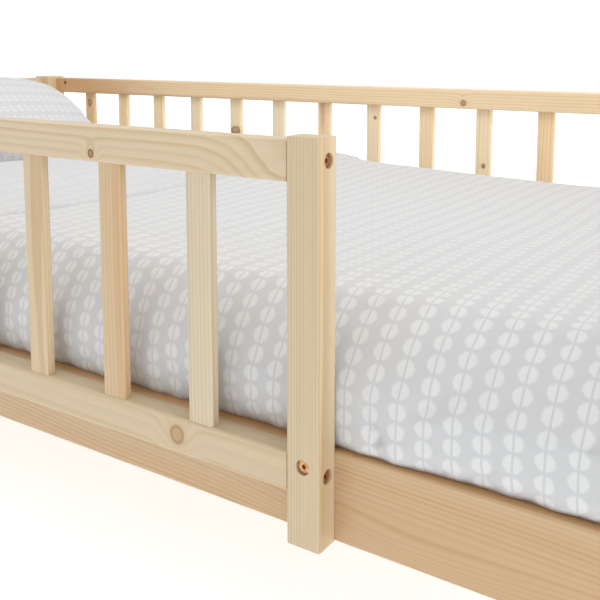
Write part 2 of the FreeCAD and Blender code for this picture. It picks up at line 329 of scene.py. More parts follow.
def pine_material(name, along, seed, figure=None, knots=(), resin_and_painted_shade=(), attribute=None, fade=1.3):
    """Clear-lacquered pine with its grain along one axis.

    Knots are (centre, spread, swirl, depth), and a depth of 0 only bends the grain; the amber patches are
    (centre, spread, share), some of them resin and some painted shade. Slats take their grain and tone from
    attributes, and fade keeps most tones pale.
    """
    material, g, shader = new_material(name, IOR=1.47, Coat_Weight=0.10, Coat_Roughness=0.30)
    here = g.here()
    if attribute:
        grain_place = g.add("ShaderNodeAttribute", attribute_name=attribute).outputs["Vector"]
    else:
        grain_place = g.add("ShaderNodeMapping", {
            "Rotation": TURN_TO_GRAIN[along],
            "Location": (seed * 0.37, seed * 0.013, seed * 0.007), "Vector": here,
        }, vector_type="POINT").outputs[0]
    wood = g.add("ShaderNodeGroup", {"Place": grain_place, "Seed": seed, **(figure or {})}, node_tree=pine_figure)
    if attribute:
        tone = g.add("ShaderNodeAttribute", attribute_name="plank_tone").outputs["Fac"]
        g.feed(wood.inputs["Warmth"], g.math("POWER", tone, fade))
    color = wood.outputs["Color"]
    # Amber patches: resin on some boards, painted shade on others.
    for centre, spread, share in resin_and_painted_shade:
        away = g.vector("LENGTH", g.vector("MULTIPLY", g.vector("SUBTRACT", here, centre), spread))
        patch = g.noise(g.vector("MULTIPLY", grain_place, (12.0, 90.0, 90.0)), 1.0, 2.0, 0.5, seed)
        away = g.scaled(patch, 0.5, g.less(away, 0.25))
        color = g.blend(g.times(g.ramp(away, 0.3, 1.3, 1.0, 0.0), share), color, AMBER)
    swirl = None
    for centre, spread, strength, depth in knots:
        spot = {"Place": here, "Centre": centre, "Spread": spread}
        if depth > 0.0:
            knot = g.add("ShaderNodeGroup", {**spot, "Depth": depth, "Color": color}, node_tree=pine_knot)
            color = knot.outputs["Color"]
        flow = g.add("ShaderNodeGroup", {**spot, "Swirl": strength}, node_tree=grain_flow)
        swirl = flow.outputs[0] if swirl is None else g.plus(swirl, flow.outputs[0])
    if swirl is not None:
        g.feed(wood.inputs["Swirl"], swirl)
    g.feed(shader.inputs["Base Color"], color)
    g.feed(shader.inputs["Roughness"], g.scaled(wood.outputs["Late"], -0.08, 0.50))
    add_bump(g, shader, wood.outputs["Height"], 0.00012, 0.6)
    return material


def dress(node_name, material):
    """Gives a CAD node its own material."""
    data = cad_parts[node_name].data
    data.materials.clear()
    data.materials.append(material)


def front_knot(x, z, radius_x, radius_z, swirl, depth=1.0):
    """A knot seen on a face that looks along Y."""
    return ((x, 0.0, z), (1.0 / radius_x, 0.0, 1.0 / radius_z), swirl, depth)


# boards, rails and posts; each has its own grain
# Painted light: the front top rail, front lower rail, entry post and front side board are made darker as painted
# shade, and the back top rail lighter as painted light.
dress("front_top_rail", pine_material(
    "pine_front_top_rail", "x", 2.0,
    {
        "Pith across": -0.452, "Pith depth": 0.400, "Ring width": 0.0080, "Lean": 0.01, "Wander": 0.020,
        "Warmth": 0.18, "Contrast": 0.60, "Bright": 0.90,
    },
    (
        front_knot(0.1807, 0.4542, 0.0036, 0.0040, 2.2),
        front_knot(0.4100, 0.4460, 0.0230, 0.0150, 4.6, 0.0),
    ),
))
dress("front_lower_rail", pine_material(
    "pine_front_lower_rail", "x", 5.0,
    {
        "Pith across": -0.47, "Pith depth": 0.150, "Ring width": 0.0085, "Wander": 0.020,
        "Warmth": 0.25, "Contrast": 0.40, "Bright": 0.85,
    },
    (front_knot(0.2867, 0.1955, 0.0080, 0.0088, 2.0, 0.40),),
    (((0.2867, -0.45, 0.1955), (1 / 0.010, 0.0, 1 / 0.010), 0.55),),
))
dress("back_top_rail", pine_material(
    "pine_back_top_rail", "x", 9.0,
    {
        "Pith across": 0.50, "Pith depth": 0.43, "Ring width": 0.0050,
        "Warmth": 0.28, "Contrast": 0.6, "Bright": 1.20,
    },
    (front_knot(0.1875, 0.4566, 0.0050, 0.0050, 2.0, 0.7),),
    (
        # The broad patch makes the head end darker amber; the two thin lines along the rail's lower edge are
        # painted shade.
        ((-0.92, 0.43, 0.463), (1 / 0.34, 0.0, 1 / 0.10), 0.85),
        ((-0.25, 0.43, 0.448), (1 / 0.30, 0.0, 1 / 0.006), 0.35),
        ((-0.75, 0.43, 0.447), (1 / 0.40, 0.0, 1 / 0.005), 0.60),
    ),
))
dress("entry_post", pine_material(
    "pine_entry_post", "z", 3.0,
    {
        "Pith across": -0.3, "Pith depth": 0.44, "Ring width": 0.0030, "Wander": 0.0015,
        "Warmth": 0.24, "Contrast": 0.62, "Bright": 0.86,
    },
))
dress("side_board_front", pine_material(
    "pine_side_board_front", "x", 7.0,
    {
        "Pith across": -0.46, "Pith depth": 0.06, "Ring width": 0.0028, "Lean": 0.03, "Wander": 0.022,
        "Warmth": 1.0, "Contrast": 1.0, "Bright": 0.83,
    },
    (front_knot(0.505, 0.150, 0.050, 0.007, 3.0, 0.0),),
    (
        ((0.60, -0.43, 0.17), (1 / 0.22, 0.0, 1 / 0.05), 0.32),
        # A thin amber line along the top edge: painted shade where the duvet hem rests on the board.
        ((0.60, -0.43, 0.2128), (0.0, 0.0, 1 / 0.0016), 0.85),
    ),
))
for number, name in enumerate(("back_lower_rail", "side_board_back")):
    dress(name, pine_material("pine_" + name, "x", 11.0 + number, {
        "Warmth": 0.5, "Ring width": 0.0042, "Pith across": 0.5, "Pith depth": 0.1, "Contrast": 0.6,
    }))
for number, name in enumerate((
    "head_board", "foot_board", "head_top_rail", "head_lower_rail", "foot_top_rail", "foot_lower_rail",
)):
    dress(name, pine_material("pine_" + name, "y", 17.0 + number, {
        "Warmth": 0.45, "Ring width": 0.0045, "Pith depth": 0.12, "Contrast": 0.6,
    }))
for number, name in enumerate(("head_post_front", "head_post_back", "foot_post_front", "foot_post_back")):
    dress(name, pine_material("pine_" + name, "z", 29.0 + number, {
        "Warmth": 0.35, "Ring width": 0.0034, "Wander": 0.004, "Contrast": 0.6,
    }))
for number, name in enumerate(("cleat_front", "cleat_back")):
    dress(name, pine_material("pine_" + name, "x", 41.0 + number, {"Warmth": 0.4}))
dress("dowels", pine_material("dowel_beech", "x", 45.0, {"Warmth": 0.8}))

slat_figure = {"Pith across": 0.04, "Pith depth": 0.03, "Ring width": 0.0042, "Wander": 0.02, "Contrast": 0.60}


def slat_pine(name, painted_light, knots=(), resin_and_painted_shade=(), fade=1.3):
    """Pine for a row of slats, each with its own tone and its own part of the plank, and a painted light level
    that makes the row look more or less lit.
    """
    return pine_material(name, "z", 0.0, {**slat_figure, "Bright": painted_light}, knots, resin_and_painted_shade, "grain_place", fade)


# Painted shade: the front slats are made darker.
front_slat_pine = slat_pine(
    "pine_front_slats", 0.88, (), (((0.212, -0.445, 0.330), (1 / 0.005, 0.0, 1 / 0.2), 0.45),)
)
# Painted light: the back slats are made lighter.
back_slat_pine = slat_pine(
    "pine_back_slats", 1.27,
    (
        ((-0.799, 0.445, 0.422), (1 / 0.006, 0.0, 1 / 0.009), 1.5, 0.8),
        ((-0.345, 0.445, 0.378), (1 / 0.012, 0.0, 1 / 0.008), 1.5, 0.6),
        ((0.000, 0.445, 0.421), (1 / 0.003, 0.0, 1 / 0.003), 1.0, 0.9),
        ((0.224, 0.445, 0.343), (1 / 0.003, 0.0, 1 / 0.004), 1.0, 0.9),
    ),
    (
        ((-0.121, 0.445, 0.440), (1 / 0.007, 0.0, 1 / 0.06), 0.6),
        ((-0.345, 0.445, 0.368), (1 / 0.016, 0.0, 1 / 0.014), 0.7),
        ((-0.799, 0.445, 0.400), (1 / 0.030, 0.0, 1 / 0.120), 0.55),
    ),
    2.1,
)
end_slat_pine = slat_pine("pine_end_slats", 1.0)
base_slat_pine = slat_pine("pine_base_slats", 0.95)


# ---------------------------------------------------------------- slat rows
def live(sockets, name):
    """The socket of this name that is in use for the node's data type."""
    return next(socket for socket in sockets if socket.name == name and socket.enabled)


def stored(g, geometry, name, value, domain, kind="FLOAT_VECTOR"):
    """Keeps a value on the geometry under a name."""
    node = g.add("GeometryNodeStoreNamedAttribute", data_type=kind, domain=domain)
    g.feed(node.inputs["Geometry"], geometry)
    node.inputs["Name"].default_value = name
    g.feed(live(node.inputs, "Value"), value)
    return node.outputs[0]


def make_slat_row_tree():
    """A row of flat slats with eased long edges; each slat is cut from another part of the plank."""
    tree, g, start, end = named_group(
        "slat_row", "GeometryNodeTree",
        (
            ("Count", WHOLE, 5), ("Pitch", VECTOR, None), ("First", VECTOR, None),
            ("Wide", FLOAT, 0.027), ("Thick", FLOAT, 0.010), ("Long", FLOAT, 0.25),
            ("Edge", FLOAT, 0.002), ("Turn", VECTOR, None), ("Seed", WHOLE, 1),
            ("Tone seed", WHOLE, 1), ("Material", MATERIAL, None),
        ),
        (("Geometry", GEOMETRY),),
    )
    line = g.add("GeometryNodeCurvePrimitiveLine", {"End": g.join(0.0, 0.0, start["Long"])})
    outline = g.add("GeometryNodeCurvePrimitiveQuadrilateral", {"Width": start["Wide"], "Height": start["Thick"]})
    eased = g.add("GeometryNodeFilletCurve", {"Curve": outline.outputs[0], "Radius": start["Edge"]})
    if hasattr(eased, "mode"):
        eased.mode = "POLY"
    eased.inputs["Count"].default_value = 4
    slat = g.add("GeometryNodeCurveToMesh", {
        "Curve": line.outputs[0], "Profile Curve": eased.outputs[0], "Fill Caps": True,
    })
    x, y, z = g.split(g.add("GeometryNodeInputPosition").outputs[0])
    keep = stored(g, slat.outputs[0], "grain_place", g.join(z, x, y), "POINT")
    spots = g.add("GeometryNodeMeshLine", {
        "Count": start["Count"], "Start Location": start["First"], "Offset": start["Pitch"],
    })
    turn = g.add("FunctionNodeEulerToRotation", {0: start["Turn"]})
    row = g.add("GeometryNodeInstanceOnPoints", {
        "Points": spots.outputs[0], "Instance": keep, "Rotation": turn.outputs[0],
    })
    shift = g.add("FunctionNodeRandomValue", {
        "Min": (-3.0, -0.05, -0.05), "Max": (3.0, 0.05, 0.05), "Seed": start["Seed"],
    }, data_type="FLOAT_VECTOR")
    mark = stored(g, row.outputs[0], "plank_shift", shift.outputs[0], "INSTANCE")
    tone = g.add("FunctionNodeRandomValue", {"Seed": start["Tone seed"]}, data_type="FLOAT")
    toned = stored(g, mark, "plank_tone", live(tone.outputs, "Value"), "INSTANCE", "FLOAT")
    solid = g.add("GeometryNodeRealizeInstances", {"Geometry": toned})
    own = g.add("GeometryNodeInputNamedAttribute", {"Name": "grain_place"}, data_type="FLOAT_VECTOR")
    moved = g.add("GeometryNodeInputNamedAttribute", {"Name": "plank_shift"}, data_type="FLOAT_VECTOR")
    place = g.vector("ADD", own.outputs[0], moved.outputs[0])
    joined = stored(g, solid.outputs[0], "grain_place", place, "POINT")
    smooth = g.add("GeometryNodeSetShadeSmooth", {"Geometry": joined})
    angle = g.add("GeometryNodeInputMeshEdgeAngle").outputs[0]
    sharp = g.add("FunctionNodeCompare", {0: angle, 1: 0.7}, operation="GREATER_THAN")
    crisp = g.add("GeometryNodeSetShadeSmooth", {
        "Geometry": smooth.outputs[0], "Selection": sharp.outputs[0], "Shade Smooth": False,
    }, domain="EDGE")
    paint = g.add("GeometryNodeSetMaterial", {"Geometry": crisp.outputs[0], "Material": start["Material"]})
    g.feed(end[0], paint.outputs[0])
    return tree


slat_row_tree = make_slat_row_tree()


def grown(name, tree, settings, path=None):
    """Runs a geometry tree, on a path where it takes one, and keeps its result as a plain mesh."""
    holder = link_mesh(name + "_holder", path or bpy.data.meshes.new(name + "_holder"))
    modifier = holder.modifiers.new("grow", "NODES")
    modifier.node_group = tree
    for item in tree.interface.items_tree:
        if item.item_type == "SOCKET" and item.in_out == "INPUT" and item.name in settings:
            modifier[item.identifier] = settings[item.name]
    holder.update_tag()
    bpy.context.view_layer.update()
    graph = bpy.context.evaluated_depsgraph_get()
    mesh = bpy.data.meshes.new_from_object(holder.evaluated_get(graph))
    holder.modifiers.clear()
    bpy.data.objects.remove(holder)
    return link_mesh(name, mesh)


def guard_slats(name, first, pitch, count, turned, nodes, seed, tone_seed, pine):
    """One side's row of slats, standing in for the named nodes."""
    piece = grown(name, slat_row_tree, {
        "Count": count, "Pitch": pitch, "First": first, "Wide": slat_wide, "Thick": slat_thick,
        "Long": slat_high - slat_low, "Edge": slat_round, "Turn": (0.0, 0.0, math.pi / 2 if turned else 0.0),
        "Seed": seed, "Tone seed": tone_seed, "Material": pine,
    })
    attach(piece, "frame")
    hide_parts(*nodes)


slat_plane = guard_face - slat_setback - slat_thick / 2
end_slat_plane = half_length + board_thick + rail_thick - slat_setback - slat_thick / 2
front_slats, back_slats, end_slats = 11, 15, 7
guard_slats(
    "front_guard_slats",
    (entry_post_left - front_slats * slat_pitch + slat_wide / 2, -slat_plane, slat_low),
    (slat_pitch, 0.0, 0.0), front_slats, False,
    ["front_slat_%02d" % (i + 1) for i in range(front_slats)], 4, 301, front_slat_pine,
)
guard_slats(
    "back_guard_slats",
    (back_slat_shift - back_slats // 2 * back_slat_pitch, slat_plane, slat_low),
    (back_slat_pitch, 0.0, 0.0), back_slats, False,
    ["back_slat_%02d" % (i + 1) for i in range(back_slats)], 11, 3289, back_slat_pine,
)
for side, name in ((-1, "head"), (1, "foot")):
    guard_slats(
        name + "_end_slats",
        (side * end_slat_plane, -(end_slats // 2) * slat_pitch, slat_low),
        (0.0, slat_pitch, 0.0), end_slats, True,
        [name + "_guard_slats"], 20 + side, 30 + side, end_slat_pine,
    )

base_slat_count, base_slat_pitch = 14, 0.128
base_slat_first = (-0.832, -0.4025, 0.165)
base_slat_wide, base_slat_thick, base_slat_long = 0.070, 0.014, 0.805
base_row = grown("base_slat_row", slat_row_tree, {
    "Count": base_slat_count, "Pitch": (base_slat_pitch, 0.0, 0.0), "First": base_slat_first,
    "Wide": base_slat_wide, "Thick": base_slat_thick, "Long": base_slat_long, "Edge": slat_round,
    "Turn": (-math.pi / 2, 0.0, 0.0), "Seed": 8, "Tone seed": 5, "Material": base_slat_pine,
})
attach(base_row, "frame")
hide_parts("base_slats")


# ---------------------------------------------------------------- metal
def metal_material(name, color, worn, roughness):
    """Plated steel with worn patches and fine scratches."""
    material, g, shader = new_material(name, Metallic=1.0)
    here = g.here()
    patches = g.noise(here, 260.0, 4.0, 0.6, 2.0)
    scratches = g.noise(g.vector("MULTIPLY", here, (2400.0, 400.0, 2400.0)), 1.0, 2.0, 0.6, 5.0)
    g.feed(shader.inputs["Base Color"], g.blend(g.ramp(patches, 0.40, 0.68), color, worn))
    g.feed(shader.inputs["Roughness"], g.scaled(patches, 0.22, roughness))
    add_bump(g, shader, g.plus(patches, g.times(scratches, 0.3)), 0.00008)
    return material


# The bronze plating colour is darkened as painted shade of the recesses the bolt heads sit in.
bolt_metal = metal_material("bolt_bronze_zinc_painted_shade", (0.44, 0.20, 0.09, 1.0), (0.68, 0.42, 0.22, 1.0), 0.20)
screw_metal = metal_material("screw_yellow_zinc", (0.66, 0.52, 0.25, 1.0), (0.78, 0.70, 0.50, 1.0), 0.30)
for name in ("frame_bolts", "entry_post_bolts", "barrel_nuts", "insert_nut"):
    dress(name, bolt_metal)
for name in ("cleat_screws", "slat_screws"):
    dress(name, screw_metal)


# ---------------------------------------------------------------- cloth finishes
def add_weave(g, place, thread):
    """Height of a plain weave: two crossing sets of threads."""
    x, y = g.split(place)[:2]
    warp = g.math("SINE", g.times(x, math.tau / thread))
    weft = g.math("SINE", g.times(y, math.tau / thread))
    return g.times(warp, weft)


def make_bedding_cotton(name, print_share):
    """Light grey cotton printed with pale round dots, each split by a fine line."""
    material, g, shader = new_material(name, Roughness=0.85, Sheen_Weight=0.25, Sheen_Roughness=0.5)
    place = g.add("ShaderNodeAttribute", attribute_name="cloth_place").outputs["Vector"]
    x, y = g.split(place)[:2]
    column_pitch, row_pitch = 0.0247, 0.0176
    dot_wide, dot_high, split = 0.0084, 0.0080, 0.0009
    columns = g.math("DIVIDE", x, column_pitch)
    column = g.math("FLOOR", columns)
    from_line = g.times(g.less(g.math("FRACT", columns), 0.5), column_pitch)
    stagger = g.times(g.math("FLOORED_MODULO", column, 2.0), 0.5)
    rows = g.plus(g.math("DIVIDE", y, row_pitch), stagger)
    from_row = g.times(g.less(g.math("FRACT", rows), 0.5), row_pitch)
    reach = g.join(g.math("DIVIDE", from_line, dot_wide), g.math("DIVIDE", from_row, dot_high), 0.0)
    reach = g.vector("LENGTH", reach)
    ragged = g.less(g.noise(place, 330.0, 2.0, 0.55, 1.0), 0.5)
    reach = g.scaled(ragged, 0.36, reach)
    dot = g.ramp(reach, 0.76, 1.10, 1.0, 0.0)
    line = g.ramp(g.math("ABSOLUTE", from_line), split * 0.5, split * 1.7)
    faded = g.ramp(g.math("ABSOLUTE", y), 0.26, 0.40, 0.62, 1.0)
    dot = g.times(g.times(dot, line), g.times(faded, print_share))
    slub = g.noise(g.vector("MULTIPLY", place, (900.0, 60.0, 60.0)), 1.0, 2.0, 0.5, 3.0)
    slub_over = g.noise(g.vector("MULTIPLY", place, (60.0, 900.0, 60.0)), 1.0, 2.0, 0.5, 4.0)
    mottle = g.scaled(g.plus(slub, slub_over), 0.05, 0.95)
    ground = g.vector("SCALE", (0.594, 0.594, 0.597), mottle)
    printed = g.vector("SCALE", (0.710, 0.710, 0.706), mottle)
    g.feed(shader.inputs["Base Color"], g.blend(dot, ground, printed))
    g.feed(shader.inputs["Roughness"], g.scaled(dot, -0.06, 0.86))
    weave = g.times(add_weave(g, place, 0.0011), 0.5)
    height = g.plus(weave, g.plus(slub, g.times(dot, 0.3)))
    add_bump(g, shader, height, 0.00010, 0.7)
    return material


def make_mattress_knit():
    """White knitted cover, quilted in small diamonds."""
    material, g, shader = new_material("mattress_knit", Roughness=0.9, Sheen_Weight=0.3)
    here = g.here()
    x, y, z = g.split(here)
    across = g.plus(y, z)
    diamond = 0.035
    one = g.math("PINGPONG", g.plus(x, across), diamond)
    other = g.math("PINGPONG", g.less(x, across), diamond)
    channel = g.math("MINIMUM", one, other)
    puff = g.ramp(channel, 0.0, 0.012)
    stitch = g.ramp(channel, 0.0008, 0.0018, 1.0, 0.0)
    knit = add_weave(g, g.vector("ADD", here, g.join(z, z, 0.0)), 0.0022)
    fuzz = g.noise(here, 500.0, 2.0, 0.6, 2.0)
    color = g.vector("SCALE", (0.80, 0.80, 0.79), g.scaled(fuzz, 0.10, 0.93))
    g.feed(shader.inputs["Base Color"], g.blend(g.times(stitch, 0.5), color, (0.55, 0.55, 0.54, 1.0)))
    g.feed(shader.inputs["Roughness"], g.scaled(fuzz, 0.1, 0.82))
    height = g.plus(g.times(puff, 6.0), g.plus(g.times(knit, 0.4), fuzz))
    add_bump(g, shader, height, 0.0004)
    return material


def make_webbing():
    """Woven tape that keeps the base slats apart."""
    material, g, shader = new_material("base_webbing", Roughness=0.8)
    here = g.here()
    weave = add_weave(g, here, 0.0024)
    fuzz = g.noise(here, 700.0, 2.0, 0.6, 2.0)
    shade = g.scaled(weave, 0.06, g.scaled(fuzz, 0.1, 0.9))
    g.feed(shader.inputs["Base Color"], g.vector("SCALE", (0.80, 0.79, 0.75), shade))
    add_bump(g, shader, g.plus(weave, fuzz), 0.0002)
    return material


def make_thread():
    """Twisted sewing thread."""
    material, g, shader = new_material("sewing_thread", Roughness=0.6)
    here = g.here()
    twist = g.noise(here, 1800.0, 1.0, 0.5, 2.0)
    g.feed(shader.inputs["Base Color"], g.vector("SCALE", (0.70, 0.70, 0.71), g.scaled(twist, 0.2, 0.85)))
    add_bump(g, shader, twist, 0.0001)
    return material


bedding_cotton = make_bedding_cotton("bedding_cotton", 1.0)
bedding_reverse = make_bedding_cotton("bedding_cotton_reverse", 0.45)
sewing_thread = make_thread()
mattress_knit = make_mattress_knit()
dress("base_straps", make_webbing())


# ---------------------------------------------------------------- soft pieces
def block(name, low, high, top_round, segments):
    """A closed block with its top rim and its upright corners rounded."""
    bm = bmesh.new()
    bmesh.ops.create_cube(bm, size=1.0)
    size = Vector(high) - Vector(low)
    middle = (Vector(high) + Vector(low)) / 2
    bmesh.ops.transform(bm, matrix=Matrix.Translation(middle) @ Matrix.Diagonal((*size, 1.0)), verts=bm.verts)
    rim = [
        edge for edge in bm.edges
        if min(v.co.z for v in edge.verts) > low[2] + 0.001
        or abs(edge.verts[0].co.z - edge.verts[1].co.z) > 0.001
    ]
    bmesh.ops.bevel(bm, geom=rim, offset=top_round, segments=segments, profile=0.5, affect="EDGES")
    mesh = bpy.data.meshes.new(name)
    bm.to_mesh(mesh)
    bm.free()
    return link_mesh(name, mesh)


def applied(piece):
    """Keeps the piece's evaluated shape and drops its modifiers."""
    bpy.context.view_layer.update()
    graph = bpy.context.evaluated_depsgraph_get()
    mesh = bpy.data.meshes.new_from_object(piece.evaluated_get(graph))
    old = piece.data
    piece.modifiers.clear()
    piece.data = mesh
    bpy.data.meshes.remove(old)


def points_of(mesh):
    flat = np.zeros(len(mesh.vertices) * 3)
    mesh.vertices.foreach_get("co", flat)
    return flat.reshape(-1, 3)


def place_points(mesh, points):
    mesh.vertices.foreach_set("co", points.ravel())
    mesh.update()


def inflate(piece, held, cap, pressure=2.0, grow=0.0, frames=20, stiffness=12.0):
    """Fills a closed cloth form with air; the held points stay and no point moves past the cap."""
    before = points_of(piece.data)
    group = piece.vertex_groups.new(name="held")
    group.add([int(i) for i in np.nonzero(held)[0]], 1.0, "REPLACE")
    cloth = piece.modifiers.new("cloth", "CLOTH")
    settings = cloth.settings
    settings.quality = 4
    settings.mass = 0.25
    settings.tension_stiffness = stiffness
    settings.compression_stiffness = stiffness
    settings.shear_stiffness = stiffness / 2
    settings.bending_stiffness = 0.4
    settings.use_pressure = True
    settings.uniform_pressure_force = pressure
    settings.shrink_min = -grow
    settings.vertex_group_mass = "held"
    settings.effector_weights.gravity = 0.0
    cloth.collision_settings.use_collision = False
    cloth.point_cache.frame_start = 1
    cloth.point_cache.frame_end = frames
    for step in range(1, frames + 1):
        bpy.context.scene.frame_set(step)
    graph = bpy.context.evaluated_depsgraph_get()
    after = points_of(piece.evaluated_get(graph).to_mesh())
    piece.modifiers.clear()
    piece.vertex_groups.clear()
    bpy.context.scene.frame_set(1)
    move = after - before
    length = np.linalg.norm(move, axis=1, keepdims=True)
    limit = cap * np.tanh(length / cap)
    place_points(piece.data, before + move * limit / np.maximum(length, 1e-9))


def fold_noise(points, scale, seed):
    """Smooth noise from -1 to 1 at each point, stretched by scale."""
    shift = Vector((seed * 3.7, seed * 1.9, seed * 5.3))
    return np.array([noise.noise(Vector(p * scale) + shift) for p in points])


def finish_soft(piece, body, nodes, levels=1):
    """Smooths a soft piece, attaches it to its body and hides the CAD nodes it stands in for."""
    for face in piece.data.polygons:
        face.use_smooth = True
    if levels:
        soften = piece.modifiers.new("soften", "SUBSURF")
        soften.levels = levels
        soften.render_levels = levels
        applied(piece)
    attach(piece, body)
    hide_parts(*nodes)


def spaced(*stretches):
    """Line positions over stretches of (start, end, spacing)."""
    lines = []
    for start, end, spacing in stretches:
        count = max(1, round((end - start) / spacing))
        lines.extend(start + (end - start) * i / count for i in range(count))
    lines.append(stretches[-1][1])
    return np.array(lines)


def rounded_over(points, low, high, radius):
    """Moves points of a block's faces so that its edges between low and high are rounded."""
    core = np.clip(points, np.array(low) + radius, np.array(high) - radius)
    away = points - core
    length = np.linalg.norm(away, axis=-1, keepdims=True)
    return core + away * (radius / np.maximum(length, 1e-9))


def run_length(line):
    """Length along a line of points, from its first point."""
    return np.concatenate([[0.0], np.cumsum(np.linalg.norm(np.diff(line, axis=0), axis=1))])


class DrapedSheet:
    """A sheet laid over a block: head to foot along X, hem to hem over the top, with a foot drop."""

    def __init__(self, head, foot, half, top, radius, along, across, rows):
        along = head + (along - along[0]) * (foot - head) / (along[-1] - along[0])
        across = across * half / across[-1]
        drop = top - (top - duvet_hem) * np.arange(1, rows + 1) / rows
        path_y = np.concatenate([np.full(rows, -half), across, np.full(rows, half)])
        path_z = np.concatenate([drop[::-1], np.full(len(across), top), drop])
        main = np.empty((len(along), len(path_y), 3))
        main[..., 0] = along[:, None]
        main[..., 1] = path_y
        main[..., 2] = path_z
        inside = len(across) - 2
        end = np.empty((inside, rows, 3))
        end[..., 0] = foot
        end[..., 1] = across[1:-1, None]
        end[..., 2] = drop
        low = (head, -half, -9.0)
        high = (foot, half, top)
        self.main = rounded_over(main, low, high, radius)
        self.end = rounded_over(end, low, high, radius)
        self.rows = rows
        self.shape = main.shape[:2]
        self.count = main.shape[0] * main.shape[1] + inside * rows

    def points(self):
        return np.concatenate([self.main.reshape(-1, 3), self.end.reshape(-1, 3)])

    def main_index(self, i, j):
        return (i % self.shape[0]) * self.shape[1] + j % self.shape[1]

    def end_index(self, m, k):
        """Point of the foot drop; its rim is shared with the main sheet."""
        wide = self.shape[1] - 2 * self.rows
        if k == 0:
            return self.main_index(-1, self.rows + m)
        if m == 0:
            return self.main_index(-1, self.rows - k)
        if m == wide - 1:
            return self.main_index(-1, self.rows + wide - 1 + k)
        return self.shape[0] * self.shape[1] + (m - 1) * self.rows + k - 1

    def faces(self):
        quads = []
        at = self.main_index
        for i in range(self.shape[0] - 1):
            for j in range(self.shape[1] - 1):
                quads.append((at(i, j), at(i + 1, j), at(i + 1, j + 1), at(i, j + 1)))
        at = self.end_index
        for m in range(self.shape[1] - 2 * self.rows - 1):
            for k in range(self.rows):
                quads.append((at(m, k), at(m, k + 1), at(m + 1, k + 1), at(m + 1, k)))
        return quads

    def rim(self):
        """The open rim: up the head end, along the back hem, the foot hem and the front hem."""
        wide = self.shape[1] - 2 * self.rows
        loop = [self.main_index(0, j) for j in range(self.shape[1])]
        loop += [self.main_index(i, -1) for i in range(1, self.shape[0])]
        loop += [self.end_index(m, self.rows) for m in range(wide - 2, 0, -1)]
        loop += [self.main_index(i, 0) for i in range(self.shape[0] - 1, 0, -1)]
        return loop

    def cloth_place(self):
        """Where each point lies on the flat cloth."""
        middle = self.shape[1] // 2
        along = run_length(self.main[:, middle])
        across = run_length(self.main[self.shape[0] // 2])
        along += self.main[0, middle, 0]
        across -= across[-1] / 2
        main = np.zeros(self.shape + (3,))
        main[..., 0] = along[:, None]
        main[..., 1] = across
        end = np.zeros_like(self.end)
        end[..., 0] = along[-1] + run_length(self.end[len(self.end) // 2]) + 0.006
        end[..., 1] = across[self.rows + 1:-self.rows - 1, None]
        return np.concatenate([main.reshape(-1, 3), end.reshape(-1, 3)])


def store_cloth_place(mesh, flat):
    """Keeps where each point lies on its flat cloth, for the print and the weave."""
    layer = mesh.attributes.new("cloth_place", "FLOAT_VECTOR", "POINT")
    layer.data.foreach_set("vector", np.ascontiguousarray(flat).ravel())


def mesh_piece(name, points, faces):
    """A linked piece from points and faces."""
    mesh = bpy.data.meshes.new(name)
    mesh.from_pydata(points.tolist(), [], faces)
    mesh.update()
    return link_mesh(name, mesh)


def ease(value, low, high):
    """Smooth step from 0 at low to 1 at high."""
    share = np.clip((value - low) / (high - low), 0.0, 1.0)
    return share * share * (3.0 - 2.0 * share)


def near_line(x, z, start, end, width):
    """Share from 0 to 1 of how near each point is to a short line in the XZ plane."""
    run = np.array(end) - np.array(start)
    share = ((x - start[0]) * run[0] + (z - start[1]) * run[1]) / (run @ run)
    across = ((x - start[0]) * run[1] - (z - start[1]) * run[0]) / np.linalg.norm(run)
    return np.exp(-(across / width) ** 2) * ease(share, -0.25, 0.15) * ease(-share, -1.25, -0.9)


def rumple(points):
    """Gathers above the hem, broad undulation and one crease in the front drop."""
    rest = points.copy()
    above = rest[:, 2] - duvet_hem
    gathered = 0.075
    low = np.clip(1.0 - above / gathered, 0.0, 1.0)
    lift = ease(above, 0.0, 0.012)
    side = np.sign(rest[:, 1]) * ease(np.abs(rest[:, 1]), duvet_half - 0.02, duvet_half - 0.004)
    foot = ease(rest[:, 0], duvet_foot - 0.02, duvet_foot - 0.004)
    gathers = fold_noise(rest, (17.0, 17.0, 3.0), 1.0) + 0.7 * fold_noise(rest, (44.0, 44.0, 7.0), 2.0)
    broad = fold_noise(rest, (3.4, 4.2, 4.0), 3.0)
    fine = fold_noise(rest, (11.0, 20.0, 14.0), 4.0)
    rucks = ease(fold_noise(rest, (26.0, 26.0, 12.0), 5.0), 0.05, 0.6)
    puff = 0.0022 * np.sin(np.clip(above / 0.085, 0.0, 1.0) * math.pi)
    tuck = -0.0016 * np.exp(-above / 0.003)
    push = low * gathers * 0.0048 + (broad * 0.0025 + fine * 0.0018) * lift + puff + tuck - low * rucks * 0.0030
    crease = near_line(rest[:, 0], rest[:, 2], *duvet_crease, 0.0050)
    fold = near_line(rest[:, 0] - 0.011, rest[:, 2], *duvet_crease, 0.0075)
    in_front = side < 0.0
    free = ease(above, 0.001, 0.020)
    push = push + in_front * free * (fold * 0.0050 - crease * 0.0075)
    points[:, 1] += side * push
    points[:, 0] += foot * push
    top = ease(rest[:, 2], duvet_top - 0.04, duvet_top - 0.004)
    heap = np.exp(-((rest[:, 0] + 0.07) / 0.13) ** 2) * ease(rest[:, 1], -0.30, 0.25)
    points[:, 2] += top * (broad * 0.0060 + fine * 0.0014 + heap * 0.013)
    points[:, 1] = np.clip(points[:, 1], -duvet_widest, duvet_widest)
    points[:, 2] = np.maximum(points[:, 2], duvet_hem)


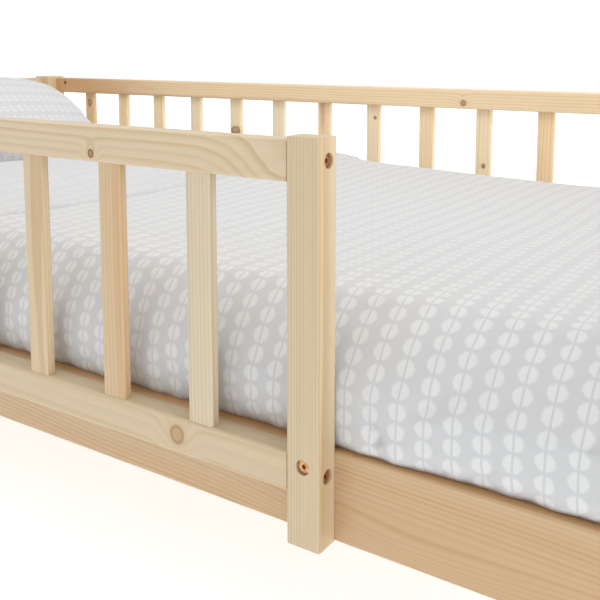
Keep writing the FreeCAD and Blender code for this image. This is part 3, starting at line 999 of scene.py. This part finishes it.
def make_duvet():
    """The main layer, puffed over the mattress with its hem on the side boards; returns its outer sheet."""
    along = spaced((duvet_head, -0.36, 0.010), (-0.36, 0.76, 0.0065), (0.76, duvet_foot, 0.010))
    across = spaced((-duvet_half, -0.20, 0.0065), (-0.20, duvet_half, 0.0105))
    rows = 18
    outer = DrapedSheet(duvet_head, duvet_foot, duvet_half, duvet_top, duvet_shoulder, along, across, rows)
    flat = outer.cloth_place()
    piece = mesh_piece("duvet_cover", outer.points(), outer.faces())
    held = np.zeros(outer.count, bool)
    held[outer.rim()] = True
    inflate(piece, held, 0.010, pressure=1.4, grow=0.012)
    points = points_of(piece.data)
    rumple(points)
    outer.main = points[:outer.shape[0] * outer.shape[1]].reshape(outer.shape + (3,))
    inner = DrapedSheet(
        duvet_head + 0.016, mattress_half[0] + duvet_lining, mattress_half[1] + duvet_lining,
        mattress_top + duvet_lining, 0.012, along, across, rows,
    )
    rim = outer.rim()
    turns = 5
    faces = outer.faces() + [tuple(v + outer.count for v in quad[::-1]) for quad in inner.faces()]
    start, finish = points[rim], inner.points()[rim]
    at_head = ease(-start[:, 0], -duvet_head - 0.03, -duvet_head - 0.016)
    edge_points = [points, inner.points()]
    ring_start = [0] + [2 * outer.count + (t - 1) * len(rim) for t in range(1, turns)] + [outer.count]
    for t in range(1, turns):
        share = t / turns
        ring = start + (finish - start) * share
        ring[:, 0] -= at_head * 0.010 * math.sin(share * math.pi)
        edge_points.append(ring)

    def ring_index(t, n):
        return ring_start[t] + (rim[n] if t in (0, turns) else n)

    for t in range(turns):
        for n in range(len(rim)):
            after = (n + 1) % len(rim)
            faces.append((ring_index(t, n), ring_index(t, after), ring_index(t + 1, after), ring_index(t + 1, n)))
    closed = mesh_piece("duvet_main", np.concatenate(edge_points), faces)
    bpy.data.objects.remove(piece)
    head_flat = [flat[rim] - np.array([0.012 * t, 0.0, 0.0]) for t in range(1, turns)]
    store_cloth_place(closed.data, np.concatenate([flat, flat] + head_flat))
    closed.data.materials.append(bedding_cotton)
    finish_soft(closed, "duvet_body", ["duvet"], levels=0)
    return outer, flat


def soft_edge(distance, lip, full, reach):
    """Height of a puffed layer near its edge: a rounded lip that swells to its full height."""
    rounded = np.sqrt(np.maximum(1.0 - (1.0 - np.clip(distance / lip, 0.0, 1.0)) ** 2, 0.0))
    return (lip * rounded + (full - lip) * ease(distance, 0.0, reach)) / full


def make_turned_layer(outer, flat):
    """The head end of the duvet, turned back over itself; its free edge lies a little askew."""
    across_lines = flat[:outer.shape[1], 1]
    along_lines = outer.cloth_place()[:: outer.shape[1], 0][:outer.shape[0]]
    half = turned_half
    count_x, count_y = 84, 118

    def on_main(along, across):
        i = np.interp(along, along_lines, np.arange(outer.shape[0]))
        j = np.interp(across, across_lines, np.arange(outer.shape[1]))
        i0 = np.clip(i.astype(int), 0, outer.shape[0] - 2)
        j0 = np.clip(j.astype(int), 0, outer.shape[1] - 2)
        u, v = (i - i0)[..., None], (j - j0)[..., None]
        m = outer.main
        near = m[i0, j0] * (1 - v) + m[i0, j0 + 1] * v
        far = m[i0 + 1, j0] * (1 - v) + m[i0 + 1, j0 + 1] * v
        return near * (1 - u) + far * u

    share, across = np.meshgrid(np.linspace(0.0, 1.0, count_x), np.linspace(-half, half, count_y), indexing="ij")
    share = 1.0 - (1.0 - share) ** 1.25
    share = share / share.max()
    waver = np.array([noise.noise(Vector((y * 7.0, 3.1, 0.4))) for y in across[0]])
    edge = turned_edge + turned_skew * across + 0.004 * waver
    head = along_lines[0] + 0.002
    along = head + share * (edge - head)
    base = on_main(along, across)
    reach = 0.012
    normal = np.cross(
        on_main(along + reach, across) - on_main(along - reach, across),
        on_main(along, across + reach) - on_main(along, across - reach),
    )
    normal /= np.linalg.norm(normal, axis=-1, keepdims=True)
    height = turned_thick * soft_edge(edge - along, 0.007, turned_thick, 0.16)
    height *= soft_edge(half - np.abs(across), 0.010, turned_thick, 0.10)
    height *= soft_edge(along - head, 0.030, turned_thick, 0.05)
    ripple = fold_noise(base.reshape(-1, 3), (6.0, 7.0, 6.0), 6.0).reshape(height.shape)
    small = fold_noise(base.reshape(-1, 3), (19.0, 26.0, 19.0), 7.0).reshape(height.shape)
    height *= 1.0 + 0.16 * ripple + 0.05 * small
    upper = base + normal * height[..., None]
    lower = base - normal * 0.0015
    faces = []
    size = count_x * count_y

    def at(i, j, layer):
        return layer * size + i * count_y + j

    for i in range(count_x - 1):
        for j in range(count_y - 1):
            faces.append((at(i, j, 0), at(i + 1, j, 0), at(i + 1, j + 1, 0), at(i, j + 1, 0)))
            faces.append((at(i, j, 1), at(i, j + 1, 1), at(i + 1, j + 1, 1), at(i + 1, j, 1)))
    rim = [(i, 0) for i in range(count_x - 1)] + [(count_x - 1, j) for j in range(count_y - 1)]
    rim += [(i, count_y - 1) for i in range(count_x - 1, 0, -1)] + [(0, j) for j in range(count_y - 1, 0, -1)]
    for n, (i, j) in enumerate(rim):
        after = rim[(n + 1) % len(rim)]
        faces.append((at(i, j, 1), at(*after, 1), at(*after, 0), at(i, j, 0)))
    piece = mesh_piece("duvet_turned_back", np.concatenate([upper.reshape(-1, 3), lower.reshape(-1, 3)]), faces)
    place = np.zeros((count_x, count_y, 3))
    place[..., 0] = along + 0.006
    place[..., 1] = across + 0.009
    store_cloth_place(piece.data, np.concatenate([place.reshape(-1, 3)] * 2))
    piece.data.materials.append(bedding_reverse)
    finish_soft(piece, "duvet_body", ["duvet"], levels=0)


def make_path_tree(name, build):
    """A tree that follows the path it is given; build adds the shape on the curve."""
    tree, g, start, end = named_group(
        name, "GeometryNodeTree",
        (
            ("Geometry", GEOMETRY, None), ("Radius", FLOAT, 0.003), ("Count", WHOLE, 100),
            ("Stitch", FLOAT, 0.003), ("Material", MATERIAL, None),
        ),
        (("Geometry", GEOMETRY),),
    )
    curve = g.add("GeometryNodeMeshToCurve")
    g.feed(curve.inputs[0], start["Geometry"])
    shape = build(g, start, curve.outputs[0])
    solid = g.add("GeometryNodeRealizeInstances", {"Geometry": shape})
    smooth = g.add("GeometryNodeSetShadeSmooth", {"Geometry": solid.outputs[0]})
    paint = g.add("GeometryNodeSetMaterial", {"Geometry": smooth.outputs[0], "Material": start["Material"]})
    g.feed(end[0], paint.outputs[0])
    return tree


def piping_shape(g, start, curve):
    """A round cord along the path."""
    ring = g.add("GeometryNodeCurvePrimitiveCircle", {"Resolution": 8, "Radius": start["Radius"]})
    tube = g.add("GeometryNodeCurveToMesh", {"Curve": curve, "Profile Curve": ring.outputs[0], "Fill Caps": True})
    return tube.outputs[0]


def stitch_shape(g, start, curve):
    """Evenly spaced stitches that follow the path."""
    spots = g.add("GeometryNodeCurveToPoints", {"Curve": curve, "Count": start["Count"]}, mode="COUNT")
    ball = g.add("GeometryNodeMeshUVSphere", {"Segments": 6, "Rings": 4, "Radius": 1.0})
    turn = g.add("FunctionNodeAlignRotationToVector", {"Vector": spots.outputs["Tangent"]}, axis="X")
    half = g.times(start["Stitch"], 0.5)
    row = g.add("GeometryNodeInstanceOnPoints", {
        "Points": spots.outputs[0], "Instance": ball.outputs[0], "Rotation": turn.outputs[0],
        "Scale": g.join(half, start["Radius"], start["Radius"]),
    })
    return row.outputs[0]


piping_tree = make_path_tree("piping", piping_shape)
stitch_tree = make_path_tree("stitches", stitch_shape)


def along_path(name, tree, points, body, settings):
    """A closed run of piping or stitches that rides on a body."""
    count = len(points)
    path = bpy.data.meshes.new(name + "_path")
    path.from_pydata([tuple(p) for p in points], [(i, (i + 1) % count) for i in range(count)], [])
    piece = grown(name, tree, settings, path)
    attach(piece, body)


def rounded_loop(half_x, half_y, corner, z, steps=8):
    """Points round a level rectangle with rounded corners."""
    loop = []
    for quarter in range(4):
        middle = (half_x - corner) * (1, -1, -1, 1)[quarter], (half_y - corner) * (1, 1, -1, -1)[quarter]
        for step in range(steps + 1):
            angle = math.pi / 2 * (quarter + step / steps)
            loop.append((middle[0] + corner * math.cos(angle), middle[1] + corner * math.sin(angle), z))
    return loop


def propped(points, steep, flat):
    """Bends a flat pillow so that its side towards the foot stands steep and its head side lies flatter."""
    line = np.linspace(-0.20, 0.20, 81)
    lean = flat + (steep - flat) * ease(line, -0.12, 0.06)
    step = np.diff(line)
    mean = (lean[1:] + lean[:-1]) / 2
    line_x = np.concatenate([[0.0], np.cumsum(np.cos(mean) * step)])
    line_z = np.concatenate([[0.0], np.cumsum(-np.sin(mean) * step)])
    line_x -= np.interp(0.0, line, line_x)
    line_z -= np.interp(0.0, line, line_z)
    turn = np.interp(points[:, 0], line, lean)
    bent = points.copy()
    bent[:, 0] = np.interp(points[:, 0], line, line_x) + points[:, 2] * np.sin(turn)
    bent[:, 2] = np.interp(points[:, 0], line, line_z) + points[:, 2] * np.cos(turn)
    return bent


def make_pillow():
    """Two sheets of cloth sewn round the edge and filled."""
    long_side, short_side, cell = 0.60, 0.40, 0.010
    columns, rows = round(short_side / cell), round(long_side / cell)
    bm = bmesh.new()
    grid = {}
    for face in (0, 1):
        for i in range(columns + 1):
            for j in range(rows + 1):
                rim = i in (0, columns) or j in (0, rows)
                if face and rim:
                    grid[face, i, j] = grid[0, i, j]
                    continue
                x = (i / columns - 0.5) * short_side
                y = (j / rows - 0.5) * long_side
                near = min(i, columns - i, j, rows - j) * cell
                lift = 0.0 if rim else 0.045 * min(near / 0.08, 1.0) ** 0.6
                grid[face, i, j] = bm.verts.new((x, y, lift if face == 0 else -lift))
    for face in (0, 1):
        for i in range(columns):
            for j in range(rows):
                ring = [grid[face, i, j], grid[face, i + 1, j], grid[face, i + 1, j + 1], grid[face, i, j + 1]]
                bm.faces.new(ring if face == 0 else ring[::-1])
    bm.verts.index_update()
    grid_ids = {key: vert.index for key, vert in grid.items()}
    mesh = bpy.data.meshes.new("pillow_cover")
    bm.to_mesh(mesh)
    bm.free()
    piece = link_mesh("pillow_cover", mesh)
    rest = points_of(mesh)
    under = np.where(rest[:, 2] < 0, 0.004, 0.0)
    store_cloth_place(mesh, np.column_stack([rest[:, 0] + 0.2, rest[:, 1] + under, np.zeros(len(rest))]))
    inflate(piece, np.zeros(len(rest), bool), 0.075, pressure=9.0, grow=0.0, frames=22, stiffness=20.0)
    points = points_of(piece.data)
    high = max(points[:, 2].max(), 0.03)
    points[:, 2] = np.sign(points[:, 2]) * pillow_half_thick * (np.abs(points[:, 2]) / high) ** 0.78
    turned = propped(points, math.radians(40.0), math.radians(4.0))
    turned[:, 0] += pillow_middle
    turned[:, 2] += mattress_top + pillow_lift
    seat = mattress_top + 0.0015
    below = np.maximum(seat - turned[:, 2], 0.0)
    turned[:, 2] = np.maximum(turned[:, 2], seat + 0.002 * np.exp(-below / 0.01))
    turned[:, 0] = np.maximum(turned[:, 0], pillow_head)
    place_points(piece.data, turned)
    piece.data.materials.append(bedding_cotton)
    rim = [grid_ids[0, i, 0] for i in range(columns)] + [grid_ids[0, columns, j] for j in range(rows)]
    rim += [grid_ids[0, i, rows] for i in range(columns, 0, -1)] + [grid_ids[0, 0, j] for j in range(rows, 0, -1)]
    seam = points_of(piece.data)[rim]
    seam = (np.roll(seam, 1, axis=0) + 2.0 * seam + np.roll(seam, -1, axis=0)) / 4.0
    finish_soft(piece, "pillow_body", ["pillow"])
    along_path("pillow_seam", piping_tree, seam, "pillow_body", {
        "Radius": 0.0016, "Material": bedding_cotton,
    })


def make_mattress():
    """A foam block in a knitted cover, piped round its top and bottom edges."""
    length, width = mattress_half
    low = (-length + 0.002, -width + 0.002, mattress_low + 0.001)
    high = (length - 0.002, width - 0.002, mattress_top - 0.0005)
    piece = block("mattress_cover", low, high, 0.012, 4)
    piece.data.materials.append(mattress_knit)
    finish_soft(piece, "mattress_body", ["mattress"], levels=0)
    seam, corner = 0.013, 0.016
    for name, z, inward in (("low", mattress_low + seam, 1), ("high", mattress_top - seam, -1)):
        along_path(
            "mattress_piping_" + name, piping_tree, rounded_loop(length - 0.002, width - 0.002, corner, z),
            "mattress_body", {"Radius": 0.0028, "Material": mattress_knit},
        )
        along_path(
            "mattress_stitches_" + name, stitch_tree,
            rounded_loop(length - 0.0019, width - 0.0019, corner, z + inward * 0.006),
            "mattress_body",
            {"Radius": 0.0005, "Count": 860, "Stitch": 0.0040, "Material": sewing_thread},
        )


make_mattress()
outer_sheet, outer_flat = make_duvet()
make_turned_layer(outer_sheet, outer_flat)
make_pillow()

# ---------------------------------------------------------------- floor, light and camera
floor_mesh = bpy.data.meshes.new("floor")
floor_mesh.from_pydata([(-9, -9, 0), (9, -9, 0), (9, 9, 0), (-9, 9, 0)], [], [(0, 1, 2, 3)])
floor = link_mesh("floor", floor_mesh)
floor_paint = new_material(
    "pale_floor", Roughness=0.9, Base_Color=(0.88, 0.91, 0.95, 1.0),
    Emission_Color=(0.97, 0.985, 1.0, 1.0), Emission_Strength=0.52,
)[0]
floor_mesh.materials.append(floor_paint)

world = bpy.data.worlds.new("studio")
bpy.context.scene.world = world
world.use_nodes = True
sky = Graph(world.node_tree)
sky_back = world.node_tree.nodes["Background"]
sky_back.inputs["Color"].default_value = (1.0, 1.0, 1.0, 1.0)
front_to_back = sky.split(sky.add("ShaderNodeTexCoord").outputs["Generated"])[1]
front_glow, back_glow = 0.72, 0.85
glow = sky.ramp(front_to_back, -0.35, 0.30, front_glow, back_glow)
seen = sky.add("ShaderNodeLightPath").outputs["Is Camera Ray"]
sky.feed(sky_back.inputs["Strength"], sky.math("MAXIMUM", glow, seen))


def add_softbox(name, place, aim, size, power):
    """A large soft lamp aimed at a point."""
    data = bpy.data.lights.new(name, "AREA")
    data.shape = "RECTANGLE"
    data.size, data.size_y = size
    data.energy = power
    lamp = bpy.data.objects.new(name, data)
    bpy.context.scene.collection.objects.link(lamp)
    lamp.location = place
    lamp.rotation_euler = (Vector(aim) - Vector(place)).to_track_quat("-Z", "Y").to_euler()


add_softbox("top_softbox", (0.1, -0.35, 1.7), (-0.1, 0.45, 0.42), (1.8, 0.7), 8.5)
add_softbox("right_softbox", (3.0, -0.4, 1.1), (0.2, -0.1, 0.3), (1.4, 1.4), 30.0)

bpy.context.scene.view_settings.view_transform = "Standard"

camera_place = (entry_post_left + 0.4023, -guard_face - 0.5764, guard_top + 0.0751)
camera_turn, camera_fall = math.radians(33.97), math.radians(7.0)
camera_data = bpy.data.cameras.new("camera")
camera_data.sensor_width = 36.0
camera_data.lens = 51.8
camera_data.shift_y = -0.2440
camera_data.clip_start = 0.02
camera = bpy.data.objects.new("camera", camera_data)
bpy.context.scene.collection.objects.link(camera)
camera.location = camera_place
camera.rotation_euler = (math.pi / 2 - camera_fall, 0.0, camera_turn)
bpy.context.scene.camera = camera
